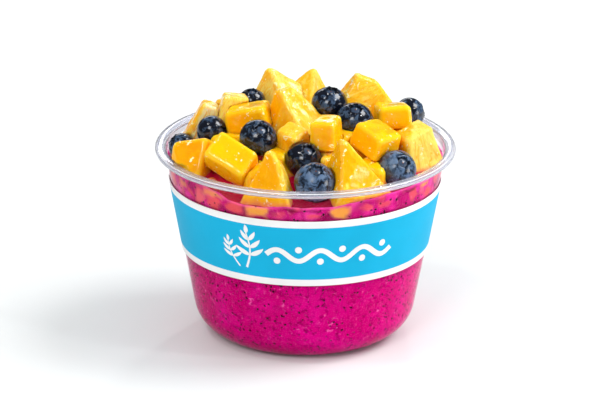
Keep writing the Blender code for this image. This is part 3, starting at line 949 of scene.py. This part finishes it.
def crests(mesh):
    """How far each point of a mesh stands out from its neighbourhood, from 0 to 1: its edges."""
    places, normals = points_of(mesh)
    edges = np.empty(len(mesh.edges) * 2, np.int32)
    mesh.edges.foreach_get("vertices", edges)
    near = np.bincount(edges, minlength=len(places)).reshape(-1, 1)
    one, other = edges.reshape(-1, 2).T
    evened = places.astype(np.float64)
    for _ in range(CREST_PASSES):
        total = np.zeros(places.shape)
        np.add.at(total, one, evened[other])
        np.add.at(total, other, evened[one])
        evened = total / np.maximum(near, 1)
    stands = ((places - evened) * normals).sum(axis=1) / MM
    return np.clip(stands / CREST_REACH, 0.0, 1.0)


def set_attribute(mesh, name, values, kind="FLOAT"):
    made = mesh.attributes.new(name, kind, "POINT")
    key = "vector" if kind == "FLOAT_VECTOR" else "value"
    made.data.foreach_set(key, np.asarray(values, np.float32).ravel())


def stains(places):
    """How far the puree colours each point, from its height over the puree's surface."""
    made = []
    for place in places:
        x, y, z = (float(value) / MM for value in place)
        level = level_at(math.atan2(y, x))
        share = min(1.0, math.hypot(x, y) / wall_radius(level, 0.3))
        surface = level + (PUREE_MIDDLE - level) * (1 - share * share)
        over = z - surface + 0.9 * noise.noise(Vector((x, y, z)) / 2.5)
        made.append(0.65 * held((STAIN_HEIGHT - over) / STAIN_HEIGHT))
    return made


def shaped(node, voxel, sheet, move):
    """A node's fine mesh, each point shifted along its normal by what move gives, and kept in."""
    mesh = fruit_mesh(node, voxel)
    set_attribute(mesh, "crest", crests(mesh))
    places, normals = points_of(mesh)
    shifts = [move(Vector(place) / MM, Vector(normal)) for place, normal in zip(places, normals)]
    places = places + np.array(shifts).reshape(-1, 1) * MM * normals
    places = kept_inside(places, sheet)
    mesh.vertices.foreach_set("co", places.astype(np.float32).ravel())
    set_attribute(mesh, "stain", stains(places))
    return mesh, places


def mango_mesh(number, voxel, sheet):
    """A mango block with softly dented faces."""
    start = Vector((number * 13.0, 0, 0))

    def move(place, normal):
        soft = noise.noise(place / 6.0 + start)
        small = noise.fractal(place / 2.2 + start, 1.0, 2.0, 2)
        return 0.25 + 0.30 * soft + 0.08 * small

    mesh, places = shaped(f"mango_{number:02d}", voxel, sheet, move)
    tone = MANGO_TONES.get(number, random.Random(number).uniform(0.35, 0.75))
    set_attribute(mesh, "tone", [tone] * len(places))
    return mesh


def ridge_at(number, place, normal):
    """How far a chunk's ridge lifts a place, from 0 to 1, and the side that it is on, -1 to 1."""
    line, _, width, _, _ = RIDGES[number]
    towards = Vector((0, -math.cos(VIEW_HIGH), math.sin(VIEW_HIGH)))
    facing = held(normal.dot(towards) * 3)
    up = place.y * math.sin(VIEW_HIGH) + (place.z - VIEW_AXIS) * math.cos(VIEW_HIGH)
    across = line[0][0] if up > line[0][1] else line[-1][0]
    for (x, high), (next_x, low) in zip(line, line[1:]):
        if low <= up <= high:
            across = x + (next_x - x) * (high - up) / (high - low)
    off = place.x - across + 0.8 * noise.noise(place / 2.5)
    return facing * max(0.0, 1.0 - abs(off) / width), held(off / 0.9, -1.0) * facing


def chunk_mesh(number, at, height, turn, voxel, sheet):
    """A pineapple chunk, with ridges along fibres that fan out from its narrow end."""
    back = placed(at, *turn).inverted()
    start = Vector((number * 17.0, 0, 0))

    def fibre_place(place):
        own = back @ place
        spread = 1.0 / max(6.0, height * 0.9 - own.z)
        return Vector((own.x * spread * 12.0 + start.x, own.y * 0.9, own.z))

    def move(place, normal):
        x, y, z = fibre_place(place)
        ridge = noise.noise(Vector((x * 0.6, y * 0.5, z * 0.06)))
        fine = noise.noise(Vector((x * 2.2, y * 1.6, z * 0.20)))
        soft = noise.noise(place / 5.0 + start)
        ragged = noise.fractal(place / 1.8 + start, 1.0, 2.0, 3)
        lift = 0.0
        if number in RIDGES:
            lift = RIDGES[number][1] * (ridge_at(number, place, normal)[0] - 0.5)
        return 0.25 + lift + 0.14 * ridge + 0.05 * fine + 0.28 * soft + 0.09 * ragged

    mesh, places = shaped(f"pineapple_{number:02d}", voxel, sheet, move)
    fans = [tuple(fibre_place(Vector(place) / MM)) for place in places]
    set_attribute(mesh, "fibre", fans, "FLOAT_VECTOR")
    tones = [PINEAPPLE_TONES.get(number, 0.5)] * len(places)
    # Each side of a ridge gets its own tone: painted shade on one side, painted light on the
    # other.
    if number in RIDGES:
        left, right = RIDGES[number][3:]
        for index, vertex in enumerate(mesh.vertices):
            _, side = ridge_at(number, vertex.co / MM, vertex.normal)
            tones[index] += ((left if side < 0 else right) - tones[index]) * abs(side)
    set_attribute(mesh, "tone", tones)
    return mesh


# ---------------------------------------------------------------- the seeds' node tree


def seed_tree(finish):
    """Geometry Nodes that strew small seeds over a surface and keep only the seeds."""
    tree = bpy.data.node_groups.new("strewn_seeds", "GeometryNodeTree")
    socket = tree.interface.new_socket
    socket("Geometry", in_out="INPUT", socket_type="NodeSocketGeometry")
    sizes = [
        socket(name, in_out="INPUT", socket_type="NodeSocket" + kind)
        for name, kind in (("Length", "Float"), ("Density", "Float"), ("Start", "Int"))
    ]
    socket("Geometry", in_out="OUTPUT", socket_type="NodeSocketGeometry")
    made = Nodes(tree)
    given = made.add("NodeGroupInput")
    seedy = made.add("GeometryNodeInputNamedAttribute", {"Name": "seedy"})["Attribute"]
    strewn = made.add(
        "GeometryNodeDistributePointsOnFaces",
        {
            "Mesh": given["Geometry"], "Density Max": given["Density"], "Seed": given["Start"],
            "Density Factor": seedy, "Distance Min": 0.0008,
        },
        distribute_method="POISSON", use_legacy_normal=False,
    )
    ball = made.add("GeometryNodeMeshUVSphere", {"Segments": 8, "Rings": 5, "Radius": 0.5})["Mesh"]
    flat = made.add("GeometryNodeTransform", {"Geometry": ball, "Scale": (1.0, 0.74, 0.42)})
    angle = made.add("FunctionNodeRandomValue", {2: 0.0, 3: math.tau, "Seed": 3})[1]
    about = made.add("FunctionNodeAxisAngleToRotation", {"Axis": (0, 0, 1), "Angle": angle})[0]
    turn = made.add(
        "FunctionNodeRotateRotation", {"Rotation": strewn["Rotation"], "Rotate By": about},
        rotation_space="LOCAL",
    )
    share = made.add("FunctionNodeRandomValue", {2: 0.45, 3: 1.05, "Seed": 5})[1]
    size = made.add("ShaderNodeMath", {0: share, 1: given["Length"]}, operation="MULTIPLY")[0]
    stand = made.add(
        "GeometryNodeInstanceOnPoints",
        {
            "Points": strewn["Points"], "Instance": flat["Geometry"],
            "Rotation": turn["Rotation"], "Scale": size,
        },
    )
    real = made.add("GeometryNodeRealizeInstances", {"Geometry": stand["Instances"]})["Geometry"]
    wear = made.add("GeometryNodeSetMaterial", {"Geometry": real, "Material": finish})
    made.add("NodeGroupOutput", {"Geometry": wear["Geometry"]})
    return tree, [size.identifier for size in sizes]


# ---------------------------------------------------------------- the sleeve's print


# Sprigs on the sleeve: foot and tip as (along, height), how far the stem bows, and leaf size.
SPRIGS = (
    ((-23.5, 41.0), (-22.8, 56.2), 1.6, 1.0),
    ((-26.5, 41.0), (-31.0, 51.5), -1.2, 0.72),
)
STEM_STEPS, LEAF_STEPS, WAVE_STEPS, DOT_STEPS = 24, 18, 150, 18
WAVE_START, WAVE_PERIOD, WAVE_HEIGHT, WAVE_COUNT = -15.0, 8.4, 2.3, 6
DOT_RADIUS, DOT_OFF = 1.35, 2.5  # a dot's radius, and how far it lies off the wave's middle
THINNEST = 0.02  # the width of a ribbon where it ends in a point


def on_sleeve(along, height):
    """A point on the sleeve's outside: along its front from the middle and up, in mm."""
    radius = wall_radius(height, -SLEEVE_OUTSIDE) + PRINT_LIFT
    around = -math.pi / 2 + along / wall_radius(PRINT_MIDDLE, -1.0)
    return Vector(polar(radius, around, height)) * MM


def strip(bm, line, widths):
    """A flat ribbon on the sleeve along a line of (along, height), with a width at each point."""
    across = 4
    rows = []
    for number, (along, height) in enumerate(line):
        before = line[max(0, number - 1)]
        after = line[min(len(line) - 1, number + 1)]
        dx, dy = after[0] - before[0], after[1] - before[1]
        size = math.hypot(dx, dy) or 1.0
        row = []
        for step in range(across + 1):
            out = (step / across - 0.5) * widths[number]
            row.append(bm.verts.new(on_sleeve(along + -dy / size * out, height + dx / size * out)))
        rows.append(row)
    for one, other in zip(rows, rows[1:]):
        for step in range(across):
            bm.faces.new((one[step], other[step], other[step + 1], one[step + 1]))


def leaf(bm, along, height, angle, length, width, bend=0.25):
    """A plain leaf shape that starts at a point and points along an angle."""
    line, widths = [], []
    for step in range(LEAF_STEPS + 1):
        share = step / LEAF_STEPS
        turn = math.radians(angle + bend * 60 * (share - 0.5))
        reach = length * share
        line.append((along + reach * math.cos(turn), height + reach * math.sin(turn)))
        widths.append(max(THINNEST, width * math.sin(math.pi * share ** 0.8) ** 0.75))
    strip(bm, line, widths)


def print_mesh():
    """Plain white shapes on the sleeve's front: two leafy sprigs, then a wavy band with dots."""
    bm = bmesh.new()
    for foot, top, bow, size in SPRIGS:
        stem, widths = [], []
        for step in range(STEM_STEPS + 1):
            share = step / STEM_STEPS
            along = foot[0] + (top[0] - foot[0]) * share + bow * math.sin(share * math.pi)
            stem.append((along, foot[1] + (top[1] - foot[1]) * share))
            widths.append((0.95 - 0.5 * step / STEM_STEPS) * size)
        strip(bm, stem, widths)
        for number, (along, height) in enumerate(stem[9:23:5]):
            length = (6.6 - 0.9 * number) * size
            width = (1.9 - 0.12 * number) * size
            leaf(bm, along, height, 22 + 12 * number, length, width)
            leaf(bm, along, height, 158 - 12 * number, length, width, -0.25)
        leaf(bm, stem[-1][0], stem[-1][1] - 0.3, 84, 3.6 * size, 1.7 * size)
    wave = []
    for step in range(WAVE_STEPS + 1):
        along = WAVE_START + WAVE_COUNT * WAVE_PERIOD * step / WAVE_STEPS
        bend = math.sin((along - WAVE_START) / WAVE_PERIOD * math.pi)
        wave.append((along, PRINT_MIDDLE + WAVE_HEIGHT * bend))
    strip(bm, wave, [2.1] * len(wave))
    for number in range(WAVE_COUNT):
        middle = WAVE_START + WAVE_PERIOD * (number + 0.5)
        height = PRINT_MIDDLE + (-DOT_OFF if number % 2 == 0 else DOT_OFF)
        dot, widths = [], []
        for step in range(DOT_STEPS + 1):
            along = middle - DOT_RADIUS + 2 * DOT_RADIUS * step / DOT_STEPS
            half = math.sqrt(max(0.0, DOT_RADIUS ** 2 - (along - middle) ** 2))
            dot.append((along, height))
            widths.append(max(THINNEST, 2 * half))
        strip(bm, dot, widths)
    bmesh.ops.recalc_face_normals(bm, faces=bm.faces)
    for face in bm.faces:
        if face.normal.xy.dot(face.calc_center_median().xy) < 0:
            face.normal_flip()
    return mesh_of("print", bm)


# ---------------------------------------------------------------- operators


class PITAYA_OT_clear_bowl(bpy.types.Operator):
    """Make the clear bowl with its rolled rim"""

    bl_idname = "pitaya.clear_bowl"
    bl_label = "Clear Bowl"

    def execute(self, context):
        settings = context.scene.pitaya_bowl
        rim_radius = settings.rim_radius / MM
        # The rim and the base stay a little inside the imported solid's box.
        line = rim_line(RIM_STEPS, rim_radius - RIM_INSET, settings.sheet / MM)
        foot = [(radius, height + BASE_INSET) for radius, height in heel_line(0.0, HEEL_STEPS)]
        (top_radius, top_height), (foot_radius, foot_height) = line[-1], foot[0]
        for step in range(1, WALL_STEPS):
            share = step / WALL_STEPS
            radius = top_radius + (foot_radius - top_radius) * share
            line.append((radius, top_height + (foot_height - top_height) * share))
        base_height = foot[-1][1]
        line += foot + [(BASE_MIDWAY, base_height), (0.0, base_height)]
        helper = in_scene("bowl_helper", turned_mesh("bowl", line, ROUND))
        wall = helper.modifiers.new("wall", "SOLIDIFY")
        wall.thickness = settings.sheet
        wall.offset = 0.0
        wall.use_even_offset = True
        mesh = finished(helper, "clear_bowl")
        # Besides the clear wall and rim: painted highlight lines and painted shade lines that run
        # round the rim.
        for name, tint, edge, ior, through in (
            ("clear_wall", settings.tint, (0.80, 0.81, 0.87), settings.wall_ior, 1.0),
            ("clear_rim", (0.80, 0.81, 0.86), (0.58, 0.60, 0.68), settings.rim_ior, 0.90),
            ("rim_painted_highlight", (0.95, 0.95, 0.96), (0.86, 0.86, 0.91), settings.rim_ior, 0.35),
            ("rim_painted_shade", (0.60, 0.61, 0.70), (0.46, 0.48, 0.58), settings.rim_ior, 0.60),
        ):
            mesh.materials.append(clear_plastic(name, tint, edge, ior, through))
        middle = rim_radius - RIM_WIDTH / 2
        for polygon in mesh.polygons:
            centre = polygon.center / MM
            if centre.z < settings.rim_low / MM:
                continue
            across = (centre.xy.length - middle) / RIM_WIDTH
            up = (centre.z - RIM_HEIGHT) / RIM_DEPTH
            turn = math.degrees(math.atan2(up, across)) % 360
            polygon.material_index = 1
            for low, high, index in RIM_LINES:
                if low <= turn <= high:
                    polygon.material_index = index
        smooth_but_for_edges(mesh)
        add_piece("clear_bowl", mesh, "clear_plastic", "bowl")
        return {"FINISHED"}


class PITAYA_OT_paper_sleeve(bpy.types.Operator):
    """Make the paper sleeve with its white borders"""

    bl_idname = "pitaya.paper_sleeve"
    bl_label = "Paper Sleeve"

    def execute(self, context):
        settings = context.scene.pitaya_sleeve
        low, high = settings.low / MM, settings.high / MM
        border, inner = settings.border / MM, -SLEEVE_INSIDE
        outer = inner - settings.paper / MM
        soft = 0.08  # how far the outer edges are cut back
        steps = 6
        rows = []
        heights = [high, high - border, low + border, low]
        for one, other in zip(heights, heights[1:]):
            rows += [one + (other - one) * step / steps for step in range(steps)]
        rows.append(low)
        profile = [(wall_radius(height, inner), height) for height in (low, high)]
        profile.append((wall_radius(high, outer + soft), high))
        for height in rows:
            profile.append((wall_radius(height, outer), held(height, low + soft, high - soft)))
        profile.append((wall_radius(low, outer + soft), low))
        mesh = turned_mesh("paper_sleeve", profile, ROUND, closed=True)
        mesh.materials.append(coated_paper("sleeve_blue", settings.blue))
        mesh.materials.append(coated_paper("sleeve_white", settings.white))
        for polygon in mesh.polygons:
            centre = polygon.center
            outside = polygon.normal.xy.dot(centre.xy) > 0
            field = settings.low + settings.border < centre.z < settings.high - settings.border
            polygon.material_index = 0 if outside and field else 1
        smooth_but_for_edges(mesh)
        add_piece("paper_sleeve", mesh, "sleeve_paper", "sleeve")
        return {"FINISHED"}


class PITAYA_OT_sleeve_print(bpy.types.Operator):
    """Make the plain white shapes printed on the sleeve"""

    bl_idname = "pitaya.sleeve_print"
    bl_label = "Sleeve Print"

    def execute(self, context):
        mesh = print_mesh()
        mesh.materials.append(coated_paper("print_white", context.scene.pitaya_sleeve.white))
        add_piece("sleeve_print", mesh, "sleeve_paper")
        return {"FINISHED"}


class PITAYA_OT_puree(bpy.types.Operator):
    """Make the pitaya puree and the seeds that lie in it"""

    bl_idname = "pitaya.puree"
    bl_label = "Puree and Seeds"

    def execute(self, context):
        settings = context.scene.pitaya_puree
        mesh = puree_mesh(context.scene.pitaya_bowl.sheet)
        looks = [puree_look(vertex.co / MM) for vertex in mesh.vertices]
        for name, values in zip(PUREE_LOOKS, zip(*looks)):
            set_attribute(mesh, name, values)
        mesh.materials.append(puree_finish(settings))
        mesh.materials.append(juice_finish())
        for polygon in mesh.polygons:
            centre = polygon.center / MM
            reach = centre.xy.length + JUICE_EDGE
            top = centre.z > TOP_FROM and reach < wall_radius(centre.z, 0.3)
            polygon.material_index = 1 if top else 0
        add_piece("puree", mesh, "puree", "pitaya_puree")
        helper = in_scene("seed_helper", mesh.copy())
        tree, sizes = seed_tree(seed_finish())
        strewn = helper.modifiers.new("seeds", "NODES")
        strewn.node_group = tree
        chosen = (settings.seed_length, settings.seed_density, settings.seed_start)
        for identifier, size in zip(sizes, chosen):
            strewn[identifier] = size
        seeds = finished(helper, "pitaya_seeds")
        if not seeds.polygons:
            raise RuntimeError("the node tree strewed no seeds")
        seeds.shade_smooth()
        add_piece("pitaya_seeds", seeds, "puree")
        return {"FINISHED"}


class PITAYA_OT_mango(bpy.types.Operator):
    """Make the mango blocks"""

    bl_idname = "pitaya.mango"
    bl_label = "Mango Blocks"

    def execute(self, context):
        settings, sheet = context.scene.pitaya_fruit, context.scene.pitaya_bowl.sheet
        finish = mango_finish(settings)
        for number in range(1, MANGO_COUNT + 1):
            mesh = mango_mesh(number, settings.mango_voxel, sheet)
            add_fruit("mango_block", "mango", number, mesh, finish)
        return {"FINISHED"}


class PITAYA_OT_pineapple(bpy.types.Operator):
    """Make the pineapple chunks"""

    bl_idname = "pitaya.pineapple"
    bl_label = "Pineapple Chunks"

    def execute(self, context):
        settings, sheet = context.scene.pitaya_fruit, context.scene.pitaya_bowl.sheet
        finish = pineapple_finish(settings)
        for number, (at, height, turn) in enumerate(PINEAPPLES, 1):
            mesh = chunk_mesh(number, at, height, turn, settings.chunk_voxel, sheet)
            add_fruit("pineapple_chunk", "pineapple", number, mesh, finish)
        return {"FINISHED"}


class PITAYA_OT_blueberries(bpy.types.Operator):
    """Make the blueberries with their crowns"""

    bl_idname = "pitaya.blueberries"
    bl_label = "Blueberries"

    def execute(self, context):
        finish = berry_finish(context.scene.pitaya_fruit)
        for number, measures in enumerate(BLUEBERRIES, 1):
            add_fruit("berry", "blueberry", number, blueberry_mesh(number, *measures), finish)
        return {"FINISHED"}


class PITAYA_OT_stage(bpy.types.Operator):
    """Make the floor, the lights and the camera"""

    bl_idname = "pitaya.stage"
    bl_label = "Stage"

    def execute(self, context):
        settings = context.scene.pitaya_stage
        bm = bmesh.new()
        bmesh.ops.create_grid(bm, x_segments=1, y_segments=1, size=FLOOR_HALF)
        floor = in_scene("floor", mesh_of("floor", bm))
        floor.data.transform(Matrix.Translation((0, 0, -FLOOR_DROP)))
        pale = Finish("floor")
        pale.surface(Base_Color=settings.floor, Roughness=0.9, Specular_IOR_Level=0.1)
        floor.data.materials.append(pale.material)
        for name, way, size, power in (
            ("key", (0.95, 0.10, 1.15), (0.70, 0.60), settings.key),
            ("right_fill", (1.35, -0.50, 0.22), (0.50, 0.50), settings.right),
            ("left_fill", (-1.15, -0.75, 0.85), (0.50, 0.40), settings.left),
            ("front_fill", (-0.35, -1.15, 1.05), (0.50, 0.50), settings.front),
            ("strip", (-0.25, 1.45, 0.62), (0.90, 0.24), settings.strip),
            ("spark_right", (1.00, -0.55, 1.15), (0.06, 0.06), settings.spark),
            ("spark_left", (-0.55, -0.35, 1.35), (0.06, 0.06), settings.spark),
            ("spark_back", (0.25, 1.05, 1.05), (0.07, 0.07), settings.spark),
        ):
            lamp = add_light(name, Vector(way), size, power)
            lamp.visible_glossy = name != "left_fill"
        world = bpy.data.worlds.new("even_light")
        world.use_nodes = True
        made = Nodes(world.node_tree)
        rays = made.add("ShaderNodeLightPath")["Is Glossy Ray"]
        reach = {"Value": rays, "To Min": settings.ambient, "To Max": settings.mirrored}
        strength = made.add("ShaderNodeMapRange", reach)["Result"]
        back = world.node_tree.nodes["Background"]
        made.feed(back.inputs["Color"], (1.0, 1.0, 1.0))
        made.feed(back.inputs["Strength"], strength)
        context.scene.world = world
        context.scene.view_settings.view_transform = "Standard"
        add_camera(context.scene)
        return {"FINISHED"}


def add_light(name, way, size, power):
    """A soft lamp that shines on the bowl from one way off."""
    light = bpy.data.lights.new(name, "AREA")
    light.shape = "RECTANGLE"
    light.size, light.size_y = size
    light.energy = power
    lamp = in_scene(name, light)
    lamp.location = LIGHT_AIM + way
    lamp.rotation_euler = (LIGHT_AIM - lamp.location).to_track_quat("-Z", "Y").to_euler()
    return lamp


def add_camera(scene):
    """A long lens from the front, a little above: the view in which the bowl was measured."""
    right, up = Vector((1, 0, 0)), Vector((0, math.sin(VIEW_HIGH), math.cos(VIEW_HIGH)))
    depth = Vector((0, math.cos(VIEW_HIGH), -math.sin(VIEW_HIGH)))
    place = Vector((0, 0, VIEW_AXIS * MM)) - depth * VIEW_DISTANCE
    place += right * VIEW_SHIFT[0]
    place += up * VIEW_SHIFT[1]
    across = (right + up * VIEW_ROLL).normalized()
    above = (up - right * VIEW_ROLL).normalized()
    data = bpy.data.cameras.new("front_view")
    data.lens = VIEW_LENS
    data.sensor_width = 36.0
    data.clip_end = 30.0
    camera = in_scene("front_view", data)
    turn = Matrix((across, above, -depth)).transposed().to_4x4()
    camera.matrix_world = Matrix.Translation(place) @ turn
    scene.camera = camera


class PITAYA_PT_panel(bpy.types.Panel):
    """The bowl's pieces and their settings"""

    bl_idname = "PITAYA_PT_panel"
    bl_label = "Pitaya Bowl"
    bl_space_type = "VIEW_3D"
    bl_region_type = "UI"
    bl_category = "Pitaya Bowl"

    def draw(self, context):
        layout = self.layout
        for operator in OPERATORS:
            layout.operator(operator.bl_idname)
        for name, group in SETTINGS:
            box = layout.box()
            for key in group.__annotations__:
                box.prop(getattr(context.scene, name), key)


SETTINGS = (
    ("pitaya_bowl", BowlSettings),
    ("pitaya_sleeve", SleeveSettings),
    ("pitaya_puree", PureeSettings),
    ("pitaya_fruit", FruitSettings),
    ("pitaya_stage", StageSettings),
)
OPERATORS = (
    PITAYA_OT_clear_bowl,
    PITAYA_OT_paper_sleeve,
    PITAYA_OT_sleeve_print,
    PITAYA_OT_puree,
    PITAYA_OT_mango,
    PITAYA_OT_pineapple,
    PITAYA_OT_blueberries,
    PITAYA_OT_stage,
)


def register():
    for name, group in SETTINGS:
        bpy.utils.register_class(group)
        setattr(bpy.types.Scene, name, bpy.props.PointerProperty(type=group))
    for made in OPERATORS:
        bpy.utils.register_class(made)
    bpy.utils.register_class(PITAYA_PT_panel)


def unregister():
    bpy.utils.unregister_class(PITAYA_PT_panel)
    for made in reversed(OPERATORS):
        bpy.utils.unregister_class(made)
    for name, group in reversed(SETTINGS):
        delattr(bpy.types.Scene, name)
        bpy.utils.unregister_class(group)


def main():
    register()
    bpy.ops.pitaya.clear_bowl()
    bpy.ops.pitaya.paper_sleeve()
    bpy.ops.pitaya.sleeve_print()
    bpy.ops.pitaya.puree()
    bpy.ops.pitaya.mango()
    bpy.ops.pitaya.pineapple()
    bpy.ops.pitaya.blueberries()
    bpy.ops.pitaya.stage()


if __name__ == "__main__":
    main()
